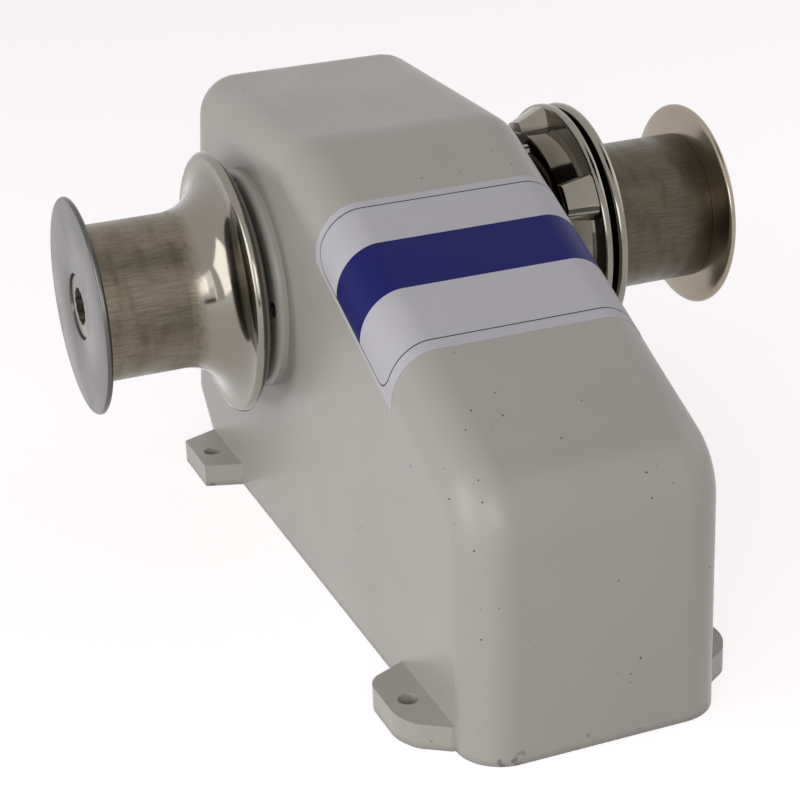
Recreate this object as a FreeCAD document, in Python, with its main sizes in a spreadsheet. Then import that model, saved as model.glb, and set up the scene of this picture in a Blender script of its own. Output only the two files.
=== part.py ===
import FreeCAD, Part
import math
import os
import Sketcher

V = FreeCAD.Vector
Rotation = FreeCAD.Rotation
Placement = FreeCAD.Placement

os.makedirs("parts", exist_ok=True)
doc = FreeCAD.newDocument("Windlass")
sheet = doc.addObject("Spreadsheet::Sheet", "Dims")


# ---------------------------------------------------------------------------
# Driving dimensions.  All lengths in millimetres, angles in degrees.
# Frame: X along the drum shaft (chain wheel side positive), Y from the motor
# end towards the drums, Z up.  Z = 0 is the deck face under the lugs and the
# origin is the centre of the four deck bolts.
# ---------------------------------------------------------------------------
DIMENSIONS = [
    ("shaft_y", 89.0, "drum shaft behind the bolt centre"),
    ("shaft_z", 155.0, "drum shaft above the deck"),
    ("worm_z", 62.0, "worm and motor axis above the deck"),
    ("case_half", 70.0, "housing half width"),
    ("case_front", 224.0, "housing front face ahead of the origin"),
    ("back_top", 189.0, "housing back at the top, behind the origin"),
    ("back_low", 242.0, "housing back at its widest"),
    ("back_low_z", 30.0, "height where the back is widest"),
    ("back_foot", 214.0, "housing back at the deck"),
    ("case_top", 253.0, "housing height"),
    ("knee_z", 145.0, "height of the knee corner"),
    ("crown_y", 18.0, "front corner of the flat top"),
    ("knee_radius", 44.0, "knee and crown corner radius"),
    ("back_radius", 26.0, "top back corner radius"),
    ("edge_radius", 24.0, "rounding along the housing edges"),
    ("case_wall", 5.0, "housing wall"),
    ("lug_height", 14.0, "lug thickness"),
    ("lug_out", 92.0, "outer edge of the lugs"),
    ("bolt_x", 81.0, "half spacing of the deck bolts across"),
    ("bolt_y", 165.0, "half spacing of the deck bolts along"),
    ("bolt_hole", 11.0, "deck bolt hole diameter"),
    ("carrier_radius", 64.0, "bearing carrier flange radius"),
    ("left_carrier_out", 76.4, "left bearing carrier outer face"),
    ("right_carrier_out", 73.4, "right bearing carrier outer face"),
    ("side_bore", 50.0, "side bore radius in the housing"),
    ("shaft_radius", 12.5, "main shaft radius"),
    ("shaft_end", 10.0, "threaded end radius of the main shaft"),
    ("flange_radius", 62.5, "left end flange radius"),
    ("barrel_radius", 45.0, "left barrel radius"),
    ("barrel_wall", 4.0, "barrel wall"),
    ("left_face", 173.8, "outer face of the left end flange"),
    ("left_flange", 5.6, "left end flange thickness"),
    ("bell_radius", 76.0, "largest radius of the bell"),
    ("bell_back", 79.5, "back of the bell"),
    ("right_barrel", 44.5, "right barrel radius"),
    ("right_inner", 131.0, "inner face of the right drum"),
    ("right_seat", 209.0, "barrel end of the right drum"),
    ("right_face", 215.5, "outer face of the right end flange"),
    ("right_flange_radius", 62.0, "right end flange radius"),
    ("inner_flange_radius", 73.5, "inner flange radius of the right drum"),
    ("gypsy_radius", 74.0, "chain wheel cheek radius"),
    ("gypsy_floor", 60.0, "pocket floor radius"),
    ("gypsy_root", 46.0, "root radius of the link groove"),
    ("wheel_teeth", 50.0, "worm wheel teeth"),
    ("gear_module", 3.0, "gear module"),
    ("worm_pitch_radius", 18.0, "worm pitch radius"),
    ("wheel_half", 14.0, "half width of the worm wheel"),
    ("motor_radius", 53.0, "motor can radius"),
    ("plate_height", 6.0, "base plate thickness"),
]


class Dim:
    """A number that carries the spreadsheet formula it came from."""

    def __init__(self, value, formula):
        self.value = float(value)
        self.formula = formula

    def __add__(self, other):
        other = as_dim(other)
        return Dim(self.value + other.value, "(%s + %s)" % (self.formula, other.formula))

    def __sub__(self, other):
        other = as_dim(other)
        return Dim(self.value - other.value, "(%s - %s)" % (self.formula, other.formula))

    def __mul__(self, other):
        other = as_dim(other)
        return Dim(self.value * other.value, "(%s * %s)" % (self.formula, other.formula))

    def __neg__(self):
        return Dim(-self.value, "(0 - %s)" % self.formula)

    __radd__ = __add__
    __rmul__ = __mul__

    def __rsub__(self, other):
        return as_dim(other) - self


def as_dim(value):
    return value if isinstance(value, Dim) else Dim(value, "%.9g" % value)


def num(value):
    return value.value if isinstance(value, Dim) else float(value)


D = {}
for row, (alias, value, note) in enumerate(DIMENSIONS, 1):
    sheet.set("A%d" % row, note)
    sheet.set("B%d" % row, "%g" % value)
    sheet.setAlias("B%d" % row, alias)
    D[alias] = Dim(value, "<<Dims>>." + alias)
sheet.Label = "Dims"
doc.recompute()

SHAFT_Y = D["shaft_y"]
SHAFT_Z = D["shaft_z"]
WORM_Z = D["worm_z"]


# ---------------------------------------------------------------------------
# Helpers
# ---------------------------------------------------------------------------
def bind(obj, prop, value):
    """Set a property and tie it to the spreadsheet when it is a Dim."""
    setattr(obj, prop, num(value))
    if isinstance(value, Dim):
        obj.setExpression(prop, value.formula)


def place(obj, x=0.0, y=0.0, z=0.0, rotation=None):
    """Put a sub-part where it belongs in the shared frame."""
    obj.Placement = Placement(V(num(x), num(y), num(z)), rotation or Rotation())
    for axis, value in (("x", x), ("y", y), ("z", z)):
        if isinstance(value, Dim):
            obj.setExpression("Placement.Base." + axis, value.formula)
    return obj


def new_body(label):
    body = doc.addObject("PartDesign::Body", label)
    body.Label = label
    return body


def origin_part(body, role):
    for item in body.Origin.OriginFeatures:
        if item.Role == role:
            return item
    raise RuntimeError("no " + role)


def new_sketch(body, plane, offset=0.0):
    sketch = body.newObject("Sketcher::SketchObject", body.Label + "_sketch")
    sketch.AttachmentSupport = [(origin_part(body, plane), "")]
    sketch.MapMode = "FlatFace"
    sketch.AttachmentOffset = Placement(V(0, 0, num(offset)), Rotation())
    if isinstance(offset, Dim):
        sketch.setExpression("AttachmentOffset.Base.z", offset.formula)
    return sketch


def pin(sketch, geo, pos, point):
    """Fix a sketch vertex at a point measured from the sketch origin."""
    for kind, value in (("DistanceX", point[0]), ("DistanceY", point[1])):
        if abs(num(value)) < 1e-9 and not isinstance(value, Dim):
            on_axis = -2 if kind == "DistanceX" else -1
            sketch.addConstraint(Sketcher.Constraint("PointOnObject", geo, pos, on_axis))
            continue
        index = sketch.addConstraint(Sketcher.Constraint(kind, -1, 1, geo, pos, num(value)))
        if isinstance(value, Dim):
            sketch.setExpression("Constraints[%d]" % index, value.formula)


def arc_through(a, m, b):
    """Arc of a circle from a to b passing m, as sketch geometry."""
    return Part.Arc(V(a[0], a[1], 0), V(m[0], m[1], 0), V(b[0], b[1], 0)).toShape().Curve


def draw(sketch, items):
    """Closed outline.  items: points; an item (x, y, mx, my) is reached by an arc through (mx, my)."""
    count = len(items)
    first = sketch.GeometryCount
    for i in range(count):
        a, b = items[i], items[(i + 1) % count]
        pa, pb = (num(a[0]), num(a[1])), (num(b[0]), num(b[1]))
        if len(b) == 4:
            arc = Part.Arc(V(pa[0], pa[1], 0), V(num(b[2]), num(b[3]), 0), V(pb[0], pb[1], 0))
            sketch.addGeometry(arc, False)
        else:
            sketch.addGeometry(Part.LineSegment(V(pa[0], pa[1], 0), V(pb[0], pb[1], 0)), False)
    ends = []
    for i in range(count):
        geo = first + i
        start = sketch.getPoint(geo, 1)
        a = items[i]
        forward = abs(start.x - num(a[0])) < 1e-6 and abs(start.y - num(a[1])) < 1e-6
        ends.append((1, 2) if forward else (2, 1))
    for i in range(count):
        j = (i + 1) % count
        sketch.addConstraint(
            Sketcher.Constraint("Coincident", first + i, ends[i][1], first + j, ends[j][0]))
    for i in range(count):
        pin(sketch, first + i, ends[i][0], items[i])
    for i in range(count):
        a, b = items[i], items[(i + 1) % count]
        if len(b) == 4:
            centre = sketch.Geometry[first + i].Center
            flat = abs(num(b[0]) - num(a[0])) > abs(num(b[1]) - num(a[1]))
            kind, value = ("DistanceY", centre.y) if flat else ("DistanceX", centre.x)
            sketch.addConstraint(Sketcher.Constraint(kind, -1, 1, first + i, 3, value))


def draw_circle(sketch, x, y, radius):
    geo = sketch.addGeometry(Part.Circle(V(num(x), num(y), 0), V(0, 0, 1), num(radius)), False)
    pin(sketch, geo, 3, (x, y))
    index = sketch.addConstraint(Sketcher.Constraint("Radius", geo, num(radius)))
    if isinstance(radius, Dim):
        sketch.setExpression("Constraints[%d]" % index, radius.formula)


def pad(body, sketch, length, midplane=False, reverse=False, cut=False):
    kind = "PartDesign::Pocket" if cut else "PartDesign::Pad"
    feature = body.newObject(kind, body.Label + ("_cut" if cut else "_pad"))
    feature.Profile = sketch
    bind(feature, "Length", length)
    feature.Midplane = midplane
    feature.Reversed = reverse
    body.Tip = feature
    sketch.Visibility = False
    return feature


def turn(body, sketch, cut=False, angle=360.0):
    kind = "PartDesign::Groove" if cut else "PartDesign::Revolution"
    feature = body.newObject(kind, body.Label + ("_groove" if cut else "_turn"))
    feature.Profile = sketch
    feature.ReferenceAxis = (sketch, ["H_Axis"])
    bind(feature, "Angle", angle)
    body.Tip = feature
    return feature


def polar(body, features, role, count):
    """Repeat features round one axis of the body's own origin."""
    pattern = body.newObject("PartDesign::PolarPattern", body.Label + "_pattern")
    pattern.Originals = features
    pattern.Axis = (origin_part(body, role), [""])
    pattern.Angle = 360.0
    pattern.Occurrences = count
    body.Tip = pattern
    return pattern


def turned(label, items, plane="XZ_Plane"):
    """A body turned from one outline of (axial position, radius) points."""
    body = new_body(label)
    sketch = new_sketch(body, plane)
    draw(sketch, items)
    turn(body, sketch)
    return body


def ring(x0, x1, inner, outer):
    return [(x0, inner), (x1, inner), (x1, outer), (x0, outer)]


def edges_where(feature, test):
    names = []
    for i, edge in enumerate(feature.Shape.Edges, 1):
        if test(edge):
            names.append("Edge%d" % i)
    return names


def dress(body, kind, names, size):
    base = body.Tip
    feature = body.newObject("PartDesign::" + kind, body.Label + "_" + kind.lower())
    feature.Base = (base, names)
    bind(feature, "Radius" if kind == "Fillet" else "Size", size)
    body.Tip = feature
    return feature


# ---------------------------------------------------------------------------
# Housing
# ---------------------------------------------------------------------------
def tangent_corner(before, corner, after, radius):
    """Tangent points and middle of the arc that rounds one corner."""
    b, c, a = V(*before, 0), V(*corner, 0), V(*after, 0)
    u, w = (b - c).normalize(), (a - c).normalize()
    half = math.acos(max(-1.0, min(1.0, u.dot(w)))) / 2.0
    reach = radius / math.tan(half)
    centre = c + (u + w).normalize() * (radius / math.sin(half))
    mid = centre + (c - centre).normalize() * radius
    return c + u * reach, c + w * reach, mid


def side_profile():
    """Outline of the housing in the Y-Z plane with rounded corners."""
    front, top = -num(D["case_front"]), num(D["case_top"])
    corners = [(front, 0.0), (front, num(D["knee_z"])), (num(D["crown_y"]), top), (num(D["back_top"]), top),
               (num(D["back_low"]), num(D["back_low_z"])), (num(D["back_foot"]), 0.0)]
    big, small = num(D["knee_radius"]), num(D["back_radius"])
    radii = [0, big, big, small, small, 0]
    items = [(-D["case_front"], 0.0)]
    for i in (1, 2, 3, 4):
        p, q, m = tangent_corner(corners[i - 1], corners[i], corners[i + 1], radii[i])
        items.append((p.x, p.y))
        items.append((q.x, q.y, m.x, m.y))
    items.append((D["back_foot"], 0.0))
    return items


def lug_outline(front, side):
    """Plan outline of one lug on the side of the housing; side is -1 or 1."""
    inner = num(D["case_half"]) - 3.0
    out = num(D["lug_out"])
    if front:
        points = [(inner, -200.0), (72.0, -199.0), (82.0, -192.0), (89.0, -184.5, 86.2, -188.8),
                  (out + 1.0, -172.0, 92.0, -178.0), (out + 1.0, -148.0), (86.0, -136.5, 91.0, -141.0), (inner, -128.0)]
    else:
        points = [(inner, 137.0), (out, 145.5), (out, 187.5), (inner, 198.0)]
    return [tuple(c * side if k % 2 == 0 else c for k, c in enumerate(p)) for p in points]


housing = new_body("housing")
profile = new_sketch(housing, "YZ_Plane")
draw(profile, side_profile())
pad(housing, profile, D["case_half"] * 2.0, midplane=True)
doc.recompute()
half = num(D["case_half"])


def side_rim(edge):
    box = edge.BoundBox
    return abs(abs(box.XMin) - half) < 1e-4 and abs(box.XMax - box.XMin) < 1e-4 and box.ZMax > 1.0


rounded = dress(housing, "Fillet", edges_where(housing.Tip, side_rim), D["edge_radius"])
doc.recompute()
shell = housing.newObject("PartDesign::Thickness", "housing_shell")
bottom = [i for i, f in enumerate(rounded.Shape.Faces, 1) if f.BoundBox.ZMax < 0.01]
shell.Base = (rounded, ["Face%d" % i for i in bottom])
shell.Value = num(D["case_wall"])
shell.Reversed = True
shell.Mode = 0
shell.Join = 0
housing.Tip = shell
doc.recompute()


# --- inside of the housing, side bores and lugs ---------------------------
def circle_pad(body, plane, offset, circles, length, midplane=False, cut=False, reverse=False):
    """Pad or pocket of one or more circles (x, y, radius)."""
    sketch = new_sketch(body, plane, offset)
    for x, y, radius in circles:
        draw_circle(sketch, x, y, radius)
    return pad(body, sketch, length, midplane, reverse, cut)


def outline_pad(body, plane, offset, outlines, length, midplane=False, cut=False, reverse=False):
    """Pad or pocket of one or more closed outlines."""
    sketch = new_sketch(body, plane, offset)
    for outline in outlines:
        draw(sketch, outline)
    return pad(body, sketch, length, midplane, reverse, cut)


def box_outline(x0, x1, y0, y1):
    return [(x0, y0), (x1, y0), (x1, y1), (x0, y1)]


BOSS_RADIUS = 62.0
for side in (-66.0, 58.0):
    circle_pad(housing, "YZ_Plane", side, [(SHAFT_Y, SHAFT_Z, BOSS_RADIUS)], 8.0)
circle_pad(housing, "YZ_Plane", 0.0, [(SHAFT_Y, SHAFT_Z, D["side_bore"])], 160.0, midplane=True, cut=True)

lugs = [lug_outline(front, side) for front in (True, False) for side in (-1, 1)]
outline_pad(housing, "XY_Plane", 0.0, lugs, D["lug_height"])
BOLT_X, BOLT_Y = D["bolt_x"], D["bolt_y"]
bolt_circles = [(x, y, D["bolt_hole"] * 0.5) for x in (-BOLT_X, BOLT_X) for y in (-BOLT_Y, BOLT_Y)]

PLATE = D["plate_height"]
plate_screws = [(side * x, y) for x, y in ((55.3, -209.0), (58.5, -20.0), (58.5, 188.0)) for side in (-1, 1)]
circle_pad(housing, "XY_Plane", PLATE, [(x, y, 8.0) for x, y in plate_screws], 22.0)
circle_pad(housing, "XY_Plane", 0.0, bolt_circles, 40.0, cut=True, reverse=True)
circle_pad(housing, "XY_Plane", PLATE, [(x, y, 2.5) for x, y in plate_screws], 16.0, cut=True, reverse=True)

# ---------------------------------------------------------------------------
# Base plate and its screws
# ---------------------------------------------------------------------------
PLATE_GAP = 0.3
wall = num(D["case_wall"])
plate_x = num(D["case_half"]) - wall - PLATE_GAP
plate_y0 = -num(D["case_front"]) + wall + PLATE_GAP
plate_y1 = num(D["back_foot"]) - 1.7 * wall - PLATE_GAP
front_corner = num(D["edge_radius"]) - wall
back_corner = front_corner + 4.0


def rounded_rect(sketch, x0, x1, y0, y1, r, s):
    """Rectangle with corner arcs of radius r along y0 and s along y1."""
    k, m = r * (1.0 - math.sqrt(0.5)), s * (1.0 - math.sqrt(0.5))
    draw(sketch, [(x0 + r, y0, x0 + k, y0 + k), (x1 - r, y0), (x1, y0 + r, x1 - k, y0 + k), (x1, y1 - s),
                  (x1 - s, y1, x1 - m, y1 - m), (x0 + s, y1), (x0, y1 - s, x0 + m, y1 - m), (x0, y0 + r)])


BRACKET_SCREWS = [(x, y) for x in (-33.0, 33.0) for y in (60.0, 118.0)]
STRAP_SCREWS = [(-59.5, -128.0), (59.5, -128.0)]
GROMMET_Y = -32.0
base_plate = new_body("base_plate")
plan = new_sketch(base_plate, "XY_Plane")
rounded_rect(plan, -plate_x, plate_x, plate_y0, plate_y1, front_corner, back_corner)
pad(base_plate, plan, PLATE)
circle_pad(base_plate, "XY_Plane", 0.0,
           [(x, y, 2.5) for x, y in plate_screws] + [(x, y, 3.0) for x, y in BRACKET_SCREWS]
           + [(x, y, 2.0) for x, y in STRAP_SCREWS] + [(0.0, GROMMET_Y, 8.0)], 40.0, cut=True, reverse=True)


def fuse(label, shapes):
    """A group of identical small parts held as one object."""
    group = doc.addObject("Part::Compound", label)
    group.Links = shapes
    group.Label = label
    return group


def rod(name, radius, length, at, direction):
    """Part cylinder from a point along a direction."""
    item = doc.addObject("Part::Cylinder", name)
    item.Radius = num(radius)
    item.Height = num(length)
    item.Placement = Placement(V(*at), Rotation(V(0, 0, 1), V(*direction)))
    return item


def cone(name, r1, r2, length, at, direction):
    item = doc.addObject("Part::Cone", name)
    item.Radius1 = num(r1)
    item.Radius2 = num(r2)
    item.Height = num(length)
    item.Placement = Placement(V(*at), Rotation(V(0, 0, 1), V(*direction)))
    return item


def prism(name, sides, radius, height, at, direction):
    item = doc.addObject("Part::Prism", name)
    item.Polygon = sides
    item.Circumradius = radius
    item.Height = height
    item.Placement = Placement(V(*at), Rotation(V(0, 0, 1), V(*direction)))
    return item


def block(name, size, at):
    item = doc.addObject("Part::Box", name)
    item.Length, item.Width, item.Height = size
    item.Placement = Placement(V(*at), Rotation())
    return item


def union(name, shapes):
    item = doc.addObject("Part::MultiFuse", name)
    item.Shapes = shapes
    return item


def minus(name, base, tool):
    item = doc.addObject("Part::Cut", name)
    item.Base = base
    item.Tool = tool
    return item


def countersunk(name, at, direction, head, shank, length):
    """Countersunk screw: at is the centre of the head face."""
    d = V(*direction)
    depth = head - shank
    tip = V(*at) + d * depth
    parts = [cone(name + "_head", head, shank, depth, at, direction),
             rod(name + "_shank", shank, length - depth, tuple(tip), direction)]
    slot = prism(name + "_socket", 6, shank * 0.8, depth * 0.8, tuple(V(*at)), direction)
    return minus(name, union(name + "_solid", parts), slot)


def cap_screw(name, at, direction, head, head_height, shank, length):
    """Socket head screw: at is the centre under the head, length below the head."""
    d = V(*direction)
    top = V(*at) - d * head_height
    parts = [rod(name + "_head", head, head_height, tuple(top), direction),
             rod(name + "_shank", shank, length, at, direction)]
    socket = prism(name + "_socket", 6, head * 0.55, head_height * 0.6, tuple(top), direction)
    return minus(name, union(name + "_solid", parts), socket)



def rim_at(feature, axis, position, radius):
    """Edges that are full circles of one radius at one position along an axis (0, 1 or 2)."""
    def test(edge):
        curve = edge.Curve
        return (hasattr(curve, "Radius") and abs(curve.Radius - radius) < 1e-4
                and abs(curve.Center[axis] - position) < 1e-3 and len(edge.Vertexes) == 1)
    return edges_where(feature, test)


doc.recompute()
HEAD = 5.0
screw_rims = edges_where(base_plate.Tip, lambda e: hasattr(e.Curve, "Radius") and abs(e.Curve.Radius - 2.5) < 1e-4
                         and e.BoundBox.ZMax < 0.01)
dress(base_plate, "Chamfer", screw_rims, HEAD - 2.5)

base_screws = fuse("base_screws", [
    countersunk("base_screw%d" % i, (x, y, 0.0), (0, 0, 1), HEAD, 2.5, 20.0)
    for i, (x, y) in enumerate(plate_screws)])

cable_grommet = turned("cable_grommet", [(0.5, 4.5), (8.0, 4.5), (8.0, 10.5), (6.0, 10.5), (6.0, 8.0), (0.5, 8.0)])
cable_grommet.Placement = Placement(V(0, GROMMET_Y, 0), Rotation(V(1, 0, 0), V(0, 0, 1)))

# ---------------------------------------------------------------------------
# Bearing carriers, bearings and oil seals on the drum shaft
# ---------------------------------------------------------------------------
CARRIER_SCREW_RADIUS = 56.0
CARRIER_SCREWS = 4
SHAFT_RADIUS = D["shaft_radius"]


def mirrored(items, side):
    """Outline flipped along the axis for the other side of the machine."""
    return [tuple(side * c if k % 2 == 0 else c for k, c in enumerate(p)) for p in items]


def bearing_outer_outline(x0, width, bore, outer):
    lip = 1.4
    return [(x0, outer - 4.0), (x0 + 0.6, outer - 4.0), (x0 + 0.6, bore + 3.7), (x0 + lip, bore + 3.7),
            (x0 + lip, outer - 3.7), (x0 + width - lip, outer - 3.7), (x0 + width - lip, bore + 3.7),
            (x0 + width - 0.6, bore + 3.7), (x0 + width - 0.6, outer - 4.0), (x0 + width, outer - 4.0),
            (x0 + width, outer), (x0, outer)]


def shaft_part(body):
    """Place a part drawn about the X axis on the drum shaft."""
    return place(body, 0.0, SHAFT_Y, SHAFT_Z)


def worm_part(body):
    """Place a part drawn about the Y axis on the worm and motor axis."""
    return place(body, 0.0, 0.0, WORM_Z)


def screw_circle(count, radius, start=0.0):
    return [(radius * math.cos(math.radians(start + 360.0 * i / count)),
             radius * math.sin(math.radians(start + 360.0 * i / count))) for i in range(count)]


nodes = [housing, base_plate, base_screws, cable_grommet]
for name, side, rim in (("left", -1, 4.0), ("right", 1, 2.0)):
    out = D[name + "_carrier_out"]
    rim_top = D["carrier_radius"]
    rim_middle = rim * (1.0 - math.sqrt(0.5))
    carrier = turned(name + "_bearing_carrier", mirrored([
        (51.5, 26.0), (66.5, 26.0), (66.5, 21.0), (out, 21.0), (out, rim_top - rim),
        (out - rim, rim_top, num(out) - rim_middle, num(rim_top) - rim_middle), (D["case_half"], rim_top),
        (D["case_half"], D["side_bore"]), (51.5, D["side_bore"])], side))
    spots = screw_circle(CARRIER_SCREWS, CARRIER_SCREW_RADIUS)
    circle_pad(carrier, "YZ_Plane", 0.0, [(y, z, 2.5) for y, z in spots], 160.0, midplane=True, cut=True)
    doc.recompute()
    rims = edges_where(carrier.Tip, lambda e: hasattr(e.Curve, "Radius") and abs(e.Curve.Radius - 2.5) < 1e-4
                       and abs(abs(e.BoundBox.XMin) - num(out)) < 1e-3)
    dress(carrier, "Chamfer", rims, 2.3)
    shaft_part(carrier)
    screws = fuse(name + "_carrier_screws", [
        countersunk("%s_carrier_screw%d" % (name, i),
                    (side * num(out), num(SHAFT_Y) + y, num(SHAFT_Z) + z), (-side, 0, 0), 4.8, 2.5, 13.0)
        for i, (y, z) in enumerate(spots)])
    circle_pad(housing, "YZ_Plane", side * 58.0 if side > 0 else -71.0,
               [(SHAFT_Y + y, SHAFT_Z + z, 2.5) for y, z in spots], 13.0, cut=True, reverse=True)
    start = 51.5 if side > 0 else -66.5
    outer = shaft_part(turned(name + "_bearing_outer", bearing_outer_outline(start, 15.0, 12.5, 26.0)))
    inner = shaft_part(turned(name + "_bearing_inner", ring(start, start + 15.0, SHAFT_RADIUS, 15.9)))
    seal = shaft_part(turned(name + "_oil_seal", mirrored([
        (67.0, 14.5), (68.0, 13.6), (69.5, 12.58), (70.5, 12.58), (70.5, 14.0), (68.5, 15.0), (68.5, 19.5),
        (73.0, 19.5), (73.0, 21.0), (67.0, 21.0)], side)))
    nodes += [carrier, screws, outer, inner, seal]

# ---------------------------------------------------------------------------
# Main shaft with its keys
# ---------------------------------------------------------------------------
END = D["shaft_end"]
main_shaft = turned("main_shaft", [
    (-166.2, 0.0), (-166.2, END - 1.0), (-165.2, END), (-152.0, END), (-152.0, SHAFT_RADIUS),
    (-51.5, SHAFT_RADIUS), (-51.5, 16.0), (-30.0, 16.0), (-30.0, SHAFT_RADIUS), (191.0, SHAFT_RADIUS),
    (191.0, END), (207.0, END), (208.0, END - 1.0), (208.0, 0.0)])
KEYS = {
    "wheel_key": (-20.0, 20.0, 15.5),
    "left_drum_key": (-142.0, -102.0, 15.5),
    "clutch_cone_key": (77.0, 90.0, 15.5),
    "right_drum_key": (140.0, 184.0, 15.5),
}
KEY_HALF = 4.0
KEY_BOTTOM = 8.5
outline_pad(main_shaft, "XY_Plane", KEY_BOTTOM,
            [box_outline(x0, x1, -KEY_HALF, KEY_HALF) for x0, x1, top in KEYS.values()], 10.0, cut=True, reverse=True)
nodes.append(shaft_part(main_shaft))
for name, (x0, x1, top) in KEYS.items():
    key = new_body(name)
    outline_pad(key, "XY_Plane", KEY_BOTTOM, [box_outline(x0, x1, -KEY_HALF, KEY_HALF)], top - KEY_BOTTOM)
    nodes.append(shaft_part(key))
nodes.append(shaft_part(turned("shaft_spacer", ring(26.0, 51.5, SHAFT_RADIUS, 16.0))))


def keyway(body, x0, x1, clearance=0.0):
    """Slot for a shaft key in the bore of a hub."""
    top = 15.5 + clearance
    half_width = KEY_HALF + clearance
    outline_pad(body, "XY_Plane", 0.0, [box_outline(x0, x1, -half_width, half_width)], top, cut=True, reverse=True)


# ---------------------------------------------------------------------------
# Worm wheel: bronze rim bolted to a steel hub
# ---------------------------------------------------------------------------
TEETH = int(num(D["wheel_teeth"]))
MODULE = num(D["gear_module"])
WORM_PITCH = num(D["worm_pitch_radius"])
WHEEL_PITCH = TEETH * MODULE / 2.0
PRESSURE = math.radians(20.0)
LEAD_ANGLE = math.degrees(math.atan(MODULE / 2.0 / WORM_PITCH))
THINNING = 0.4
WHEEL_TIP = WHEEL_PITCH + MODULE
WHEEL_ROOT = WHEEL_PITCH - 1.2 * MODULE
WHEEL_HALF = D["wheel_half"]


def involute(angle):
    return math.tan(angle) - angle


def gap_half_angle(radius):
    """Half angle of the gap between two teeth at one radius."""
    base = WHEEL_PITCH * math.cos(PRESSURE)
    tooth = (math.pi * MODULE / 2.0 - THINNING) / (2.0 * WHEEL_PITCH)
    tooth += involute(PRESSURE) - involute(math.acos(min(1.0, base / radius)))
    return math.pi / TEETH - tooth


wheel_rim = turned("worm_wheel_rim", [
    (-WHEEL_HALF, 60.0), (0.0, 60.0), (0.0, 42.0), (6.0, 42.0), (6.0, 60.0), (WHEEL_HALF, 60.0),
    (WHEEL_HALF, WHEEL_TIP - 1.0), (WHEEL_HALF - 1.0, WHEEL_TIP), (1.0 - WHEEL_HALF, WHEEL_TIP),
    (-WHEEL_HALF, WHEEL_TIP - 1.0)])
circle_pad(wheel_rim, "YZ_Plane", 0.0, [(y, z, 3.0) for y, z in screw_circle(6, 50.0)], 40.0, midplane=True, cut=True)
flank_radii = [WHEEL_ROOT, WHEEL_PITCH - 1.4, WHEEL_PITCH + 0.9, WHEEL_TIP + 0.6]
flank = [(r * math.sin(gap_half_angle(r)), r * math.cos(gap_half_angle(r))) for r in flank_radii]
gap = flank + [(-x, y) for x, y in reversed(flank)]
gap_sketch = new_sketch(wheel_rim, "YZ_Plane")
gap_sketch.AttachmentOffset = Placement(V(0, 0, 0), Rotation(V(0, 1, 0), -LEAD_ANGLE))
draw(gap_sketch, gap)
gash = pad(wheel_rim, gap_sketch, 44.0, midplane=True, cut=True)
doc.recompute()
polar(wheel_rim, [gash], "X_Axis", TEETH)
wheel_hub = turned("worm_wheel_hub", [
    (-30.0, SHAFT_RADIUS), (26.0, SHAFT_RADIUS), (26.0, 24.0), (0.0, 26.0), (0.0, 60.0), (-7.0, 60.0),
    (-7.0, 26.0), (-30.0, 24.0)])
circle_pad(wheel_hub, "YZ_Plane", 0.0, [(y, z, 3.0) for y, z in screw_circle(6, 50.0)], 40.0, midplane=True, cut=True)
circle_pad(wheel_hub, "YZ_Plane", 0.0, [(y, z, 6.0) for y, z in screw_circle(6, 40.0, 30.0)], 40.0,
           midplane=True, cut=True)
keyway(wheel_hub, -31.0, 27.0)
bolts = []
for i, (y, z) in enumerate(screw_circle(6, 50.0)):
    at = (6.0, num(SHAFT_Y) + y, num(SHAFT_Z) + z)
    solid = union("wheel_bolt%d" % i, [
        prism("wheel_bolt_head%d" % i, 6, 5.5, 4.0, at, (1, 0, 0)),
        rod("wheel_bolt_shank%d" % i, 3.0, 21.0, at, (-1, 0, 0)),
        prism("wheel_bolt_nut%d" % i, 6, 5.5, 5.0, (-7.0, at[1], at[2]), (-1, 0, 0))])
    bolts.append(solid)
wheel_bolts = fuse("wheel_bolts", bolts)
nodes += [shaft_part(wheel_rim), shaft_part(wheel_hub), wheel_bolts]

# ---------------------------------------------------------------------------
# Left warping drum: barrel flaring into a bell, end flange and nut
# ---------------------------------------------------------------------------
FACE = D["left_face"]
BARREL = D["barrel_radius"]
BACK = D["bell_back"]
BELL = D["bell_radius"]
SEAT = FACE - D["left_flange"]
bore = BARREL - D["barrel_wall"]
FLOOR = 152.0
left_drum = turned("left_drum", [
    (-BACK, SHAFT_RADIUS), (-FLOOR, SHAFT_RADIUS), (-FLOOR, 22.0), (-106.0, 22.0), (-102.0, 26.0), (-102.0, 41.0),
    (-107.0, bore), (-SEAT, bore), (-SEAT, BARREL), (-120.0, BARREL),
    (-92.0, BELL - 3.0, -100.2, BARREL + 8.2), (-88.5, BELL, -90.8, 75.2), (-BACK, 58.0, -82.4, 67.8),
    (-82.0, 54.0, -80.0, 55.4), (-93.0, 48.0), (-93.0, 28.0), (-88.0, 24.0), (-BACK, 24.0)])
keyway(left_drum, -143.0, -79.0)
nodes.append(shaft_part(left_drum))
flange_radius = D["flange_radius"]
left_flange = turned("left_end_flange", [
    (-156.0, END + 0.3), (-156.0, 19.2), (-FACE, 19.2), (-FACE, flange_radius - 1.2),
    (-FACE + 1.2, flange_radius, -FACE.value + 0.35, flange_radius.value - 0.35), (-SEAT - 1.2, flange_radius),
    (-SEAT, flange_radius - 1.2, -SEAT.value - 0.35, flange_radius.value - 0.35), (-SEAT, bore), (-FLOOR, bore),
    (-FLOOR, END + 0.3)])
nodes.append(shaft_part(left_flange))


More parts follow.
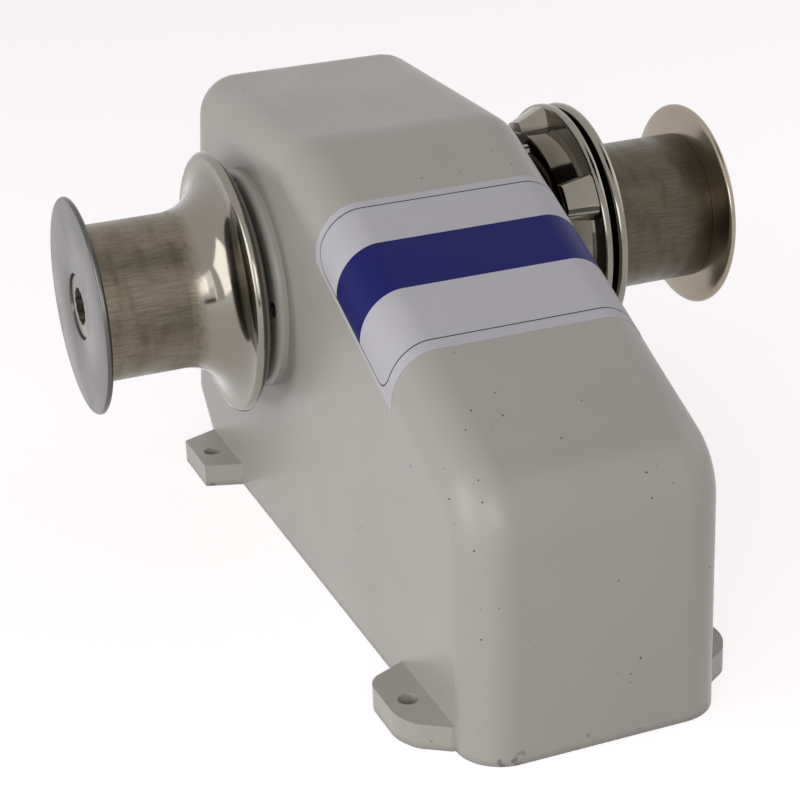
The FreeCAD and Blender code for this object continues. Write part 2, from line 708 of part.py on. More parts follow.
def star_outline(radius, points):
    """Twelve-point socket: two hexagons turned by thirty degrees."""
    inner = radius * math.cos(math.radians(30.0)) / math.cos(math.radians(15.0))
    outline = []
    for i in range(points * 2):
        r = radius if i % 2 == 0 else inner
        angle = math.radians(180.0 * i / points)
        outline.append((r * math.cos(angle), r * math.sin(angle)))
    return outline


def socket_nut(label, items, side, depth, face):
    nut = turned(label, items)
    star = outline_pad(nut, "YZ_Plane", side * (face - depth), [star_outline(11.5, 12)], depth + 1.0,
                       cut=True, reverse=side > 0)
    return shaft_part(nut)


NUT_RADIUS = 18.9
left_nut = socket_nut("left_drum_nut", [
    (-156.0, END), (-172.6, END), (-172.6, NUT_RADIUS - 1.5), (-172.0, NUT_RADIUS), (-156.0, NUT_RADIUS)],
    -1, 6.0, 172.6)
nodes.append(left_nut)


# ---------------------------------------------------------------------------
# Clutch cones and chain wheel
# ---------------------------------------------------------------------------
RUNNING = 0.06
SLIDING = 0.08
cone_key_x = KEYS["clutch_cone_key"]
inner_cone = turned("inner_clutch_cone", [
    (74.5, SHAFT_RADIUS), (91.0, SHAFT_RADIUS), (91.0, 35.0), (76.2, 39.8), (74.5, 39.8)])
keyway(inner_cone, 74.0, 92.0)
nodes.append(shaft_part(inner_cone))

GYPSY = D["gypsy_radius"]
FLOOR_R = D["gypsy_floor"]
ROOT = D["gypsy_root"]
POCKETS = 5
WHELP_ANGLE = 33.0
gypsy = turned("chain_gypsy", [
    (76.5, 40.1), (91.6, 35.2), (91.6, 17.0), (114.4, 17.0), (114.4, 36.0), (127.0, 40.2), (127.0, GYPSY - 1.2),
    (125.8, GYPSY, 126.65, GYPSY.value - 0.35), (123.2, GYPSY), (122.0, GYPSY - 1.2, 122.35, GYPSY.value - 0.35),
    (122.0, FLOOR_R + 2.0), (105.5, FLOOR_R), (105.0, FLOOR_R - 1.0), (104.2, ROOT + 3.5),
    (96.4, ROOT + 3.5, 100.3, ROOT.value), (95.6, FLOOR_R - 1.0), (95.0, FLOOR_R), (79.6, FLOOR_R + 2.0),
    (79.6, GYPSY - 3.0), (78.6, GYPSY - 2.0), (76.5, GYPSY - 2.0)])


def sector(r0, r1, base, top, centre, tilt=0.0):
    """Outline of one whelp seen along the shaft, in (Y, Z)."""
    def at(radius, angle):
        a = math.radians(centre + angle)
        return (-radius * math.cos(a), radius * math.sin(a))
    mid = at(r1, 0.0)
    c0, c1 = at(r0, -base), at(r0, base)
    t0, t1 = at(r1 - 4.0, -top - 2.4), at(r1 - 4.0, top + 2.4)
    e0, e1 = at(r1, 1.0 - top), at(r1, top - 1.0)
    round0, round1 = at(r1 - 1.3, -top - 1.1), at(r1 - 1.3, top + 1.1)
    return [c0, t0, (*e0, *round0), (*e1, *mid), (*t1, *round1), c1]


def whelp(body, x0, x1, outline0, outline1):
    first = new_sketch(body, "YZ_Plane", x0)
    draw(first, outline0)
    last = new_sketch(body, "YZ_Plane", x1)
    draw(last, outline1)
    loft = body.newObject("PartDesign::AdditiveLoft", body.Label + "_whelp")
    loft.Profile = first
    loft.Sections = [last]
    loft.Ruled = True
    body.Tip = loft
    return loft


right_whelp = whelp(gypsy, 105.6, 122.5, sector(57.0, 65.5, 13.0, 6.5, WHELP_ANGLE),
                    sector(57.0, 73.2, 15.5, 7.5, WHELP_ANGLE))
doc.recompute()
polar(gypsy, [right_whelp], "X_Axis", POCKETS)
rib_angles = [WHELP_ANGLE - 6.5, WHELP_ANGLE + 6.5, WHELP_ANGLE + 36.0]
ribs = [(-62.0 * math.cos(math.radians(a)), 62.0 * math.sin(math.radians(a)), 3.6) for a in rib_angles]
left_ribs = circle_pad(gypsy, "YZ_Plane", 79.0, ribs, 17.2)
doc.recompute()
polar(gypsy, [left_ribs], "X_Axis", POCKETS)
nodes.append(shaft_part(gypsy))
nodes.append(shaft_part(turned("gypsy_bush", ring(92.2, 113.8, SHAFT_RADIUS + RUNNING, 17.0))))

outer_cone = turned("outer_clutch_cone", [
    (115.0, SHAFT_RADIUS + SLIDING), (131.0, SHAFT_RADIUS + SLIDING), (131.0, 39.9), (127.0, 39.9), (115.0, 35.9)])
keyway(outer_cone, 114.0, 132.0, 0.1)
nodes.append(shaft_part(outer_cone))

# ---------------------------------------------------------------------------
# Right warping drum, its end flange and the clutch nut
# ---------------------------------------------------------------------------
R_BARREL = D["right_barrel"]
R_IN = D["right_inner"]
R_SEAT = D["right_seat"]
R_FACE = D["right_face"]
R_FLANGE = D["right_flange_radius"]
I_FLANGE = D["inner_flange_radius"]
r_bore = R_BARREL - D["barrel_wall"]
right_drum = turned("right_drum", [
    (R_IN, SHAFT_RADIUS + SLIDING), (194.0, SHAFT_RADIUS + SLIDING), (194.0, 22.0), (147.0, 22.0), (143.0, 26.0),
    (143.0, r_bore), (R_SEAT, r_bore), (R_SEAT, R_BARREL), (142.0, R_BARREL),
    (137.5, R_BARREL + 4.5, 138.8, R_BARREL.value + 1.3), (137.5, I_FLANGE - 1.5),
    (136.0, I_FLANGE, 137.05, I_FLANGE.value - 0.45), (R_IN + 1.5, I_FLANGE),
    (R_IN, I_FLANGE - 1.5, R_IN.value + 0.45, I_FLANGE.value - 0.45)])
keyway(right_drum, 130.0, 195.0, 0.1)
nodes.append(shaft_part(right_drum))
right_flange = turned("right_end_flange", [
    (194.0, END + 0.3), (198.0, END + 0.3), (198.0, 19.2), (R_FACE - 0.6, 19.2), (R_FACE, 20.0),
    (R_FACE, R_FLANGE - 1.2), (R_FACE - 1.2, R_FLANGE, R_FACE.value - 0.35, R_FLANGE.value - 0.35),
    (R_SEAT + 3.4, R_FLANGE), (R_SEAT + 2.2, R_FLANGE - 1.0), (R_SEAT, R_BARREL), (R_SEAT, r_bore), (194.0, r_bore)])
nodes.append(shaft_part(right_flange))
clutch_nut = socket_nut("clutch_nut", [
    (198.0, END + RUNNING), (214.2, END + RUNNING), (214.2, NUT_RADIUS - 1.5), (213.6, NUT_RADIUS),
    (198.0, NUT_RADIUS)], 1, 6.0, 214.2)
nodes.append(clutch_nut)

# ---------------------------------------------------------------------------
# Worm shaft in its bracket
# ---------------------------------------------------------------------------
FRONT_BEARING = (21.0, 35.0)
REAR_BEARING = (143.0, 157.0)
WORM_TIP = WORM_PITCH + MODULE
WORM_ROOT = WORM_PITCH - 1.25 * MODULE
worm = turned("worm_shaft", [
    (-30.0, 0.0), (-30.0, 9.4), (-29.4, 10.0), (35.0, 10.0), (35.0, 13.0), (54.0, 13.0), (56.0, WORM_ROOT),
    (122.0, WORM_ROOT), (124.0, 13.0), (143.0, 13.0), (143.0, 10.0), (158.4, 10.0), (159.0, 9.4), (159.0, 0.0)],
    "YZ_Plane")
LEAD = math.pi * MODULE
TURNS = 6
thread_start = num(SHAFT_Y) - LEAD * TURNS / 2.0
half_at_pitch = (math.pi * MODULE / 2.0 - THINNING) / 2.0
root_depth = WORM_PITCH - WORM_ROOT + 0.4
tip_half = half_at_pitch - MODULE * math.tan(PRESSURE)
root_half = half_at_pitch + root_depth * math.tan(PRESSURE)
thread_sketch = new_sketch(worm, "YZ_Plane")
draw(thread_sketch, [
    (thread_start - root_half, WORM_ROOT - 0.4), (thread_start + root_half, WORM_ROOT - 0.4),
    (thread_start + tip_half, WORM_TIP), (thread_start - tip_half, WORM_TIP)])
thread = worm.newObject("PartDesign::AdditiveHelix", "worm_thread")
thread.Profile = thread_sketch
thread.ReferenceAxis = (thread_sketch, ["H_Axis"])
thread.Mode = 0
thread.Pitch = LEAD
thread.Height = LEAD * TURNS
thread.LeftHanded = False
worm.Tip = thread
nodes.append(worm_part(worm))

for name, (y0, y1) in (("worm_front", FRONT_BEARING), ("worm_rear", REAR_BEARING)):
    nodes.append(worm_part(turned(name + "_bearing_outer", bearing_outer_outline(y0, y1 - y0, 10.0, 23.5),
                                  "YZ_Plane")))
    nodes.append(worm_part(turned(name + "_bearing_inner", ring(y0, y1, 10.0, 13.4), "YZ_Plane")))

bracket = new_body("gear_bracket")
outline_pad(bracket, "XY_Plane", PLATE, [box_outline(-42.0, 42.0, 14.0, 164.0)], 8.0)
for y0 in (20.0, 142.0):
    sketch = new_sketch(bracket, "XZ_Plane", -y0 - 16.0)
    draw(sketch, [(-34.0, 12.0), (34.0, 12.0), (29.0, WORM_Z), (-29.0, WORM_Z, 0.0, WORM_Z.value + 29.0)])
    pad(bracket, sketch, 16.0)
circle_pad(bracket, "XZ_Plane", 0.0, [(0.0, WORM_Z, 23.5)], 400.0, midplane=True, cut=True)
circle_pad(bracket, "XY_Plane", 0.0, [(x, y, 3.0) for x, y in BRACKET_SCREWS], 30.0, cut=True, reverse=True)
bracket_screws = fuse("bracket_screws", [
    cap_screw("bracket_screw%d" % i, (x, y, 14.0), (0, 0, -1), 5.0, 6.0, 3.0, 12.0)
    for i, (x, y) in enumerate(BRACKET_SCREWS)])
nodes += [bracket, bracket_screws]

# ---------------------------------------------------------------------------
# Motor
# ---------------------------------------------------------------------------
CAN = D["motor_radius"]
CAN_WALL = 4.0
CAN_IN = CAN - CAN_WALL
nodes.append(worm_part(turned("motor_can", ring(-190.0, -66.0, CAN_IN, CAN), "YZ_Plane")))
front_bell = turned("motor_front_bell", [
    (-207.0, 0.0), (-207.0, 15.0), (-205.0, 17.0), (-200.0, 17.0), (-200.0, CAN - 2.0), (-198.0, CAN),
    (-190.0, CAN), (-190.0, CAN_IN), (-187.0, CAN_IN), (-187.0, 41.0), (-193.0, 38.0), (-193.0, 14.0),
    (-189.0, 14.0), (-189.0, 7.56), (-205.0, 7.56), (-205.0, 0.0)], "YZ_Plane")
rear_bell = turned("motor_rear_bell", [
    (-66.0, CAN_IN), (-69.0, CAN_IN), (-69.0, 44.0), (-63.0, 40.0), (-63.0, 14.0), (-66.0, 14.0), (-66.0, 7.56),
    (-50.0, 7.56), (-50.0, 16.0), (-52.0, 18.0), (-56.0, 20.0), (-56.0, CAN - 2.0), (-58.0, CAN), (-66.0, CAN)],
    "YZ_Plane")
THROUGH = [(46.2, 0.0), (-46.2, 0.0)]
for bell in (front_bell, rear_bell):
    circle_pad(bell, "XZ_Plane", 0.0, [(x, z, 2.5) for x, z in THROUGH], 500.0, midplane=True, cut=True)
    nodes.append(worm_part(bell))
nodes.append(fuse("motor_through_bolts", [
    cap_screw("through_bolt%d" % i, (x, -200.0, num(WORM_Z) + z), (0, 1, 0), 4.4, 4.0, 2.5, 144.0)
    for i, (x, z) in enumerate(THROUGH)]))


def sector_solid(name, r0, r1, y0, y1, start, sweep):
    """Slice of a ring about the worm axis, made of two primitives."""
    outer = rod(name + "_outer", r1, y1 - y0, (0, y0, num(WORM_Z)), (0, 1, 0))
    inner = rod(name + "_inner", r0, y1 - y0 + 2.0, (0, y0 - 1.0, num(WORM_Z)), (0, 1, 0))
    spin = Rotation(V(0, 1, 0), start)
    for item in (outer, inner):
        item.Placement.Rotation = spin * Rotation(V(0, 0, 1), V(0, 1, 0))
    outer.Angle = sweep
    return minus(name, outer, inner)


MAGNETS = 4
nodes.append(fuse("motor_magnets", [
    sector_solid("magnet%d" % i, 43.0, 48.9, -158.0, -84.0, 90.0 * i + 12.0, 66.0) for i in range(MAGNETS)]))
nodes.append(worm_part(turned("armature_shaft", [
    (-204.0, 0.0), (-204.0, 7.0), (-203.5, 7.5), (-30.5, 7.5), (-30.5, 0.0)], "YZ_Plane")))
core = turned("armature_core", ring(-152.0, -90.0, 7.5, 42.0), "YZ_Plane")
SLOTS = 12
slot = outline_pad(core, "XZ_Plane", 0.0, [box_outline(-2.2, 2.2, 28.0, 43.0)], 400.0, midplane=True, cut=True)
doc.recompute()
polar(core, [slot], "Y_Axis", SLOTS)
nodes.append(worm_part(core))
windings = turned("armature_windings", [
    (-166.0, 20.0), (-162.0, 14.0), (-152.4, 12.0), (-152.4, 39.0), (-162.0, 38.0), (-166.0, 33.0)], "YZ_Plane")
bar = outline_pad(windings, "XZ_Plane", 153.0, [box_outline(-1.9, 1.9, 28.4, 38.5)], 64.0, reverse=True)
doc.recompute()
polar(windings, [bar], "Y_Axis", SLOTS)
rear_turns = new_sketch(windings, "YZ_Plane")
draw(rear_turns, [(-89.6, 12.0), (-80.0, 14.0), (-76.0, 20.0), (-76.0, 33.0), (-80.0, 38.0), (-89.6, 39.0)])
turn(windings, rear_turns)
nodes.append(worm_part(windings))
commutator = turned("commutator", [
    (-184.0, 7.5), (-167.0, 7.5), (-167.0, 21.0), (-169.5, 21.0), (-169.5, 18.0), (-184.0, 18.0)], "YZ_Plane")
nodes.append(worm_part(commutator))
nodes.append(worm_part(turned("motor_coupling", [
    (-48.0, 7.5), (-30.0, 7.5), (-30.0, 10.0), (-12.0, 10.0), (-12.0, 14.0), (-13.0, 15.0), (-47.0, 15.0),
    (-48.0, 14.0)], "YZ_Plane")))

brush_plate = turned("brush_plate", ring(-187.0, -184.6, 22.0, 43.4), "YZ_Plane")
holder = outline_pad(brush_plate, "XZ_Plane", 185.0, [box_outline(-6.5, 6.5, 23.0, 38.0)], 15.0, reverse=True)
holder_slot = outline_pad(brush_plate, "XZ_Plane", 182.5, [box_outline(-4.0, 4.0, 20.0, 33.0)], 10.0, cut=True)
doc.recompute()
polar(brush_plate, [holder, holder_slot], "Y_Axis", 4)
nodes.append(worm_part(brush_plate))
brushes = []
for i in range(4):
    brush = block("brush%d" % i, (8.0, 10.0, 14.8), (-4.0, -182.5, 18.15))
    turn_by = Placement(V(0, 0, num(WORM_Z)), Rotation(V(0, 1, 0), 90.0 * i))
    brush.Placement = turn_by.multiply(brush.Placement)
    brushes.append(brush)
nodes.append(fuse("brushes", brushes))

STUD_X = 14.0
STUD_Y = -194.5
circle_pad(front_bell, "XY_Plane", 40.0, [(x, STUD_Y, 3.0) for x in (-STUD_X, STUD_X)], 20.0, cut=True, reverse=True)
studs = []
for i, x in enumerate((-STUD_X, STUD_X)):
    base_z = num(WORM_Z) + 46.0
    studs.append(union("stud%d" % i, [
        rod("stud_rod%d" % i, 3.0, 24.0, (x, STUD_Y, base_z), (0, 0, 1)),
        prism("stud_nut%d" % i, 6, 5.6, 4.5, (x, STUD_Y, base_z + 11.0), (0, 0, 1))]))
nodes.append(fuse("terminal_studs", studs))

cradle = new_body("motor_cradle")
outline_pad(cradle, "XY_Plane", PLATE, [box_outline(-30.0, 30.0, -146.0, -110.0)], 13.0)
circle_pad(cradle, "XZ_Plane", 0.0, [(0.0, WORM_Z, CAN)], 400.0, midplane=True, cut=True)
strap = new_body("motor_strap")
strap_sketch = new_sketch(strap, "XZ_Plane", 140.0)
STRAP = 1.8
strap_out = CAN + STRAP
draw(strap_sketch, [
    (-64.0, PLATE), (-CAN, PLATE), (-CAN, WORM_Z), (CAN, WORM_Z, 0.0, WORM_Z.value + CAN.value), (CAN, PLATE),
    (64.0, PLATE), (64.0, PLATE + STRAP), (strap_out, PLATE + STRAP), (strap_out, WORM_Z),
    (-strap_out, WORM_Z, 0.0, WORM_Z.value + strap_out.value), (-strap_out, PLATE + STRAP), (-64.0, PLATE + STRAP)])
pad(strap, strap_sketch, 24.0, reverse=True)
circle_pad(strap, "XY_Plane", 0.0, [(x, y, 2.0) for x, y in STRAP_SCREWS], 12.0, cut=True, reverse=True)
nodes += [cradle, strap]
nodes.append(fuse("strap_screws", [
    cap_screw("strap_screw%d" % i, (x, y, num(PLATE) + STRAP), (0, 0, -1), 3.5, 4.0, 2.0, 7.0)
    for i, (x, y) in enumerate(STRAP_SCREWS)]))

# ---------------------------------------------------------------------------
# Label sheet wrapped over the sloping face and both edges, left blank
# ---------------------------------------------------------------------------
SHEET = 0.3
skin = doc.addObject("Part::Offset", "label_skin")
skin.Source = rounded
skin.Value = SHEET
skin.Mode = 0
skin.Join = 0
slope = math.atan2(num(D["case_top"]) - num(D["knee_z"]), num(D["crown_y"]) + num(D["case_front"]))
slope_start = V(0, -num(D["case_front"]), num(D["knee_z"]))
SHEET_LOW, SHEET_HIGH, SHEET_DROP, SHEET_LEAN = 101.0, 213.0, 28.5, 0.36


def on_slope(along, above):
    """Point in (Y, Z) found from its place up the slope and its height off it."""
    at = slope_start + V(0, math.cos(slope), math.sin(slope)) * along + V(0, -math.sin(slope), math.cos(slope)) * above
    return (at.y, at.z)


lean = SHEET_DROP * SHEET_LEAN
window = outline_pad(new_body("label_window"), "YZ_Plane", 0.0, [[on_slope(*corner_place) for corner_place in (
    (SHEET_LOW, 9.0), (SHEET_HIGH, 9.0), (SHEET_HIGH, 0.0), (SHEET_HIGH - lean, -SHEET_DROP),
    (SHEET_LOW - lean, -SHEET_DROP), (SHEET_LOW, 0.0))]], 190.0, midplane=True).getParentGeoFeatureGroup()
patch = doc.addObject("Part::Common", "label_patch")
patch.Base = skin
patch.Tool = window
label_sheet = minus("label_sheet", patch, rounded)
nodes.append(label_sheet)

# ---------------------------------------------------------------------------
# Export
# ---------------------------------------------------------------------------
doc.recompute()
bad = []
for obj in doc.Objects:
    if any(word in obj.State for word in ("Invalid", "Error")):
        bad.append(obj.Label + " " + obj.getStatusString())
for node in nodes:
    shape = node.Shape
    if shape.isNull() or not shape.isValid():
        bad.append(node.Label + " has no valid shape")
if bad:
    raise RuntimeError("; ".join(bad))
for node in nodes:
    node.Shape.exportStep("parts/" + node.Label + ".step")
print("%d sub-parts written" % len(nodes))
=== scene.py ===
"""Looks of the anchor windlass, laid out as an add-on: one operator dresses each group of pieces."""
import math

import bmesh
import bpy
from mathutils import Euler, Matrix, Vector


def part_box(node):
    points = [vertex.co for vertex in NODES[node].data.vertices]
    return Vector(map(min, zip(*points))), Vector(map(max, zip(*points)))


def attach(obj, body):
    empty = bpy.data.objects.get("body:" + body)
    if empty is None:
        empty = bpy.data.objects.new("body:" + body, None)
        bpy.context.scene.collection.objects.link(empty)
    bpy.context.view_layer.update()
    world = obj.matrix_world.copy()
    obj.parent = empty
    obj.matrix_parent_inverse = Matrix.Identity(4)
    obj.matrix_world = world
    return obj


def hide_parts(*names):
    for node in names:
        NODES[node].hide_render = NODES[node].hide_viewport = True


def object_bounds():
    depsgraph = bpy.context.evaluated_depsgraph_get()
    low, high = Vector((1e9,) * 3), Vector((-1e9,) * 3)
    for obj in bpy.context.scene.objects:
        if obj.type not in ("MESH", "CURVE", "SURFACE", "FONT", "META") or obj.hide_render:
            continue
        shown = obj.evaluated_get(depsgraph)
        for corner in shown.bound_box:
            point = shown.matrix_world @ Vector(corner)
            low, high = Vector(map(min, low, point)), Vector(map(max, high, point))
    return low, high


bl_info = {
    "name": "Anchor Windlass",
    "version": (1, 0, 0),
    "blender": (4, 5, 0),
    "location": "View3D > Sidebar > Windlass",
    "description": "Dresses the pieces of a horizontal anchor windlass and sets up its studio",
    "category": "Object",
}

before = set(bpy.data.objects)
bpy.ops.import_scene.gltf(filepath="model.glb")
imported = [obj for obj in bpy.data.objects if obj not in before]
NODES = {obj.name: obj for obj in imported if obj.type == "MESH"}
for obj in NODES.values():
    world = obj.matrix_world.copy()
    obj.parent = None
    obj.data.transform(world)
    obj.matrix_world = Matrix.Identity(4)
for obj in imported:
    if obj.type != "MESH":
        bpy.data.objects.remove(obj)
CAD_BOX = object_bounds()

SHAFT_LOW, SHAFT_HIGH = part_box("main_shaft")
SHAFT_Y = (SHAFT_LOW.y + SHAFT_HIGH.y) / 2
SHAFT_Z = (SHAFT_LOW.z + SHAFT_HIGH.z) / 2
MM = 0.001
SPIN_STEPS = 192
CORNER = math.radians(35.0)  # a sharper edge than this is rounded and shaded sharp

# The label: where its measure along the slope starts, the slope, and its outline in metres
LABEL_START = (0.0, -0.1978, 0.1566)
SLOPE = math.atan2(0.108, 0.242)
LABEL_HALF_WIDTH, LABEL_HALF_HEIGHT, LABEL_MIDDLE, LABEL_CORNER = 0.0955, 0.0502, 0.1293, 0.012
LABEL_LEAN = 0.36  # how far its sides lean up the slope as they fall down the housing
LINE_HALF, LINE_FADE, PRINT_EDGE = 0.0003, 0.00045, 0.0001

# Places along X between which the rope has left each barrel rough
LEFT_ROUGH = (-0.2, -0.112)
RIGHT_ROUGH = (0.148, 0.24)

# Radii in millimetres that the turned pieces share
THREAD_CLEARANCE, NUT_RECESS = 10.4, 19.2
LEFT_BARREL, LEFT_BORE, LEFT_FLANGE = 45.0, 41.0, 62.5
RIGHT_BARREL, RIGHT_BORE, RIGHT_FLANGE = 44.5, 40.5, 62.0

# Colours of wear and dirt, of painted shade in the chain wheel's pockets and on the right barrel, and
# of the darkening towards the housing's bottom
DUST = (0.12, 0.11, 0.1)
BARE_ALLOY = (0.16, 0.15, 0.145)
# Darkens the housing towards its bottom
BOTTOM_DARKENING = (0.2, 0.19, 0.175)
STEEL_STAIN = (0.1, 0.09, 0.075)
WHEEL_STAIN = (0.16, 0.14, 0.1)
# Painted shade in the chain wheel's pockets
POCKET_SHADE = (0.075, 0.062, 0.042)
ROPE_SCRATCH = (0.08, 0.07, 0.05)
BROWN_BLOT = (0.1, 0.08, 0.05)
DARK_SPOT = (0.07, 0.055, 0.035)
# Painted shade that darkens the right barrel's rough steel
RIGHT_BARREL_SHADE = (0.04, 0.034, 0.024)
LABEL_LINE = (0.05, 0.05, 0.055)

# The stage
FLOOR_SIZE, FLOOR_GAP = 12.0, 0.0002
FLOOR_GLOW, FLOOR_SHADE = 0.72, 0.6
STUDIO_WHITE = (1.0, 0.97, 0.98, 1.0)
SKY_WHITE = 0.97
LIGHTS = (  # name, share of the window power, width and height, place
    ("window_near", 0.34, (1.1, 1.1), (-0.85, -1.4, 0.58)),
    ("window_far", 0.66, (1.1, 1.1), (-1.65, -0.2, 0.58)),
    ("fill", 0.2, (1.2, 1.0), (1.5, -0.1, 0.9)),
    ("front", 0.22, (0.9, 0.7), (-0.5, -1.5, 0.7)),
)
FLAGS = (  # name, size, place
    ("flag_low", 0.9, (-0.9, -1.5, 0.1)),
    ("flag_high", 0.8, (0.6, -0.4, 1.5)),
)
FLAG_CLOTH = (0.02, 0.02, 0.018)


# ---------------------------------------------------------------------------
# Building materials, one node at a time
# ---------------------------------------------------------------------------
class Finish:
    """A procedural material and short ways to add nodes to it."""

    def __init__(self, name, color, roughness, metallic=0.0):
        self.material = bpy.data.materials.new(name)
        self.material.use_nodes = True
        self.tree = self.material.node_tree
        self.tree.nodes.clear()
        self.shader = self.tree.nodes.new("ShaderNodeBsdfPrincipled")
        output = self.tree.nodes.new("ShaderNodeOutputMaterial")
        self.tree.links.new(self.shader.outputs["BSDF"], output.inputs["Surface"])
        self.here = self.tree.nodes.new("ShaderNodeTexCoord").outputs["Object"]
        self.set("Base Color", (*color, 1.0))
        self.set("Roughness", roughness)
        self.set("Metallic", metallic)

    def set(self, socket, value):
        """A number, a colour or another node's output goes into a socket of the shader."""
        self.feed(self.shader.inputs[socket], value)

    def feed(self, socket, value):
        if isinstance(value, bpy.types.NodeSocket):
            self.tree.links.new(value, socket)
        else:
            socket.default_value = value

    def node(self, kind, inputs, **settings):
        made = self.tree.nodes.new(kind)
        for key, value in settings.items():
            setattr(made, key, value)
        for key, value in inputs.items():
            self.feed(made.inputs[key], value)
        return made

    def math(self, operation, first, second=0.0, third=0.0):
        made = self.node("ShaderNodeMath", {0: first, 1: second, 2: third}, operation=operation)
        return made.outputs[0]

    def vector(self, operation, first, second):
        made = self.node("ShaderNodeVectorMath", {0: first, 1: second}, operation=operation)
        return made.outputs["Value" if operation in ("DOT_PRODUCT", "LENGTH") else "Vector"]

    def split(self, vector):
        return self.node("ShaderNodeSeparateXYZ", {0: vector}).outputs

    def join(self, x, y, z):
        return self.node("ShaderNodeCombineXYZ", {0: x, 1: y, 2: z}).outputs[0]

    def noise(self, scale, detail=3.0, roughness=0.55, at=None):
        """Noise whose scale, in cells to the metre, may differ along each axis."""
        stretch = scale if isinstance(scale, tuple) else (scale,) * 3
        spread = self.vector("MULTIPLY", at or self.here, stretch)
        made = self.node("ShaderNodeTexNoise", {"Vector": spread, "Scale": 1.0, "Detail": detail,
                                                "Roughness": roughness})
        return made.outputs["Fac"]

    def span(self, value, low, high, start=0.0, end=1.0):
        """Maps low to high onto start to end and holds the ends."""
        made = self.node("ShaderNodeMapRange", {"Value": value, "From Min": low, "From Max": high,
                                                "To Min": start, "To Max": end})
        return made.outputs[0]

    def blend(self, share, first, second):
        first, second = [(*c, 1.0) if isinstance(c, tuple) and len(c) == 3 else c
                         for c in (first, second)]
        return self.node("ShaderNodeMix", {0: share, 6: first, 7: second}, data_type="RGBA").outputs[2]

    def paint(self, share, second):
        """Lays a second colour over the base colour where share is 1."""
        base = self.shader.inputs["Base Color"]
        first = base.links[0].from_socket if base.is_linked else tuple(base.default_value)
        self.set("Base Color", self.blend(share, first, second))

    def bump(self, height, depth, strength=1.0):
        """Raises the surface by depth metres where height is 1, on top of any bump already there."""
        normal = self.shader.inputs["Normal"]
        inputs = {"Height": height, "Distance": depth, "Strength": strength}
        if normal.is_linked:
            inputs["Normal"] = normal.links[0].from_socket
        self.set("Normal", self.node("ShaderNodeBump", inputs).outputs[0])

    def axis_radius(self, y, z):
        """Distance from an axis along X, and the point's X."""
        parts = self.split(self.here)
        across = self.math("SUBTRACT", parts[1], y)
        up = self.math("SUBTRACT", parts[2], z)
        squares = self.math("ADD", self.math("MULTIPLY", across, across), self.math("MULTIPLY", up, up))
        return self.math("SQRT", squares), parts[0]


def finished(finish, *names):
    """Gives the material to CAD nodes."""
    for name in names:
        slots = NODES[name].material_slots
        for slot in slots:
            slot.material = finish.material
        if not slots:
            NODES[name].data.materials.append(finish.material)


# ---------------------------------------------------------------------------
# Turned pieces
# ---------------------------------------------------------------------------
def turned(name, outline, finish, body, slot, *stands_for, round_over=0.0005):
    """Spins an outline of (X, radius) points, in millimetres, about the shaft and rounds its edges."""
    form = bmesh.new()
    points = [form.verts.new((x * MM, SHAFT_Y, SHAFT_Z + r * MM)) for x, r in outline]
    for first, second in zip(points, points[1:] + points[:1]):
        form.edges.new((first, second))
    bmesh.ops.spin(form, geom=form.verts[:] + form.edges[:], cent=(0.0, SHAFT_Y, SHAFT_Z),
                   axis=(1.0, 0.0, 0.0), angle=math.tau, steps=SPIN_STEPS, use_merge=True)
    bmesh.ops.remove_doubles(form, verts=form.verts[:], dist=1e-6)
    bmesh.ops.recalc_face_normals(form, faces=form.faces[:])
    corners = [edge for edge in form.edges
               if len(edge.link_faces) == 2 and edge.calc_face_angle() > CORNER]
    bmesh.ops.bevel(form, geom=corners, offset=round_over, offset_type="OFFSET", segments=3,
                    profile=0.5, affect="EDGES", clamp_overlap=True, material=-1)
    mesh = bpy.data.meshes.new(name)
    form.to_mesh(mesh)
    form.free()
    mesh.shade_smooth()
    mesh.set_sharp_from_angle(angle=CORNER)
    mesh.materials.append(finish.material)
    made = bpy.data.objects.new(name, mesh)
    bpy.context.scene.collection.objects.link(made)
    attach(made, body)
    if stands_for:
        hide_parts(*stands_for)
    return made


# ---------------------------------------------------------------------------
# Finishes
# ---------------------------------------------------------------------------
def darker(color, share):
    return tuple(part * share for part in color)


def enamel(name, color):
    """Sprayed enamel on cast alloy: faint peel, dust specks, and chips along the foot."""
    made = Finish(name, color, 0.3)
    made.set("Specular IOR Level", 0.4)
    made.set("Coat Weight", 0.08)
    made.set("Coat Roughness", 0.2)
    made.paint(made.span(made.noise(9.0), 0.42, 0.7, 0.0, 0.6), darker(color, 0.93))
    dust = made.span(made.noise(430.0, detail=0.0), 0.82, 0.84)
    sparse = made.span(made.noise(22.0, detail=0.0), 0.56, 0.6)
    made.paint(made.math("MULTIPLY", dust, sparse), DUST)
    height = made.split(made.here)[2]
    foot = made.span(height, 0.0, 0.012, 1.0, 0.0)
    likely = made.math("ADD", made.noise(110.0), made.math("MULTIPLY", foot, 0.12))
    chips = made.math("MULTIPLY", made.span(likely, 0.72, 0.74), foot)
    made.paint(chips, BARE_ALLOY)
    # Darker towards the bottom: the lowest 4 mm of the housing fade halfway towards this colour.
    made.paint(made.span(height, 0.0, 0.004, 0.5, 0.0), BOTTOM_DARKENING)
    made.set("Roughness", made.span(made.noise(20.0), 0.3, 0.7, 0.32, 0.4))
    made.bump(made.noise(90.0, detail=0.0), 0.00006, 0.12)
    made.bump(chips, 0.0002, 0.6)
    return made


def steel(name, tint, roughness, grain=None, stain=0.0, dark=STEEL_STAIN):
    """Stainless steel with fine grain along one direction and uneven stains."""
    made = Finish(name, tint, roughness, 1.0)
    smear = made.noise(45.0, detail=5.0, roughness=0.7)
    made.paint(made.span(smear, 0.45, 0.75, 0.0, stain), dark)
    made.set("Roughness", made.span(made.noise(70.0), 0.3, 0.7, roughness * 0.8, roughness * 1.25))
    if grain:
        lines = made.noise(grain, detail=2.0)
        made.bump(lines, 0.00003, 0.5)
        made.paint(made.span(lines, 0.5, 0.75, 0.0, 0.35), dark)
    return made


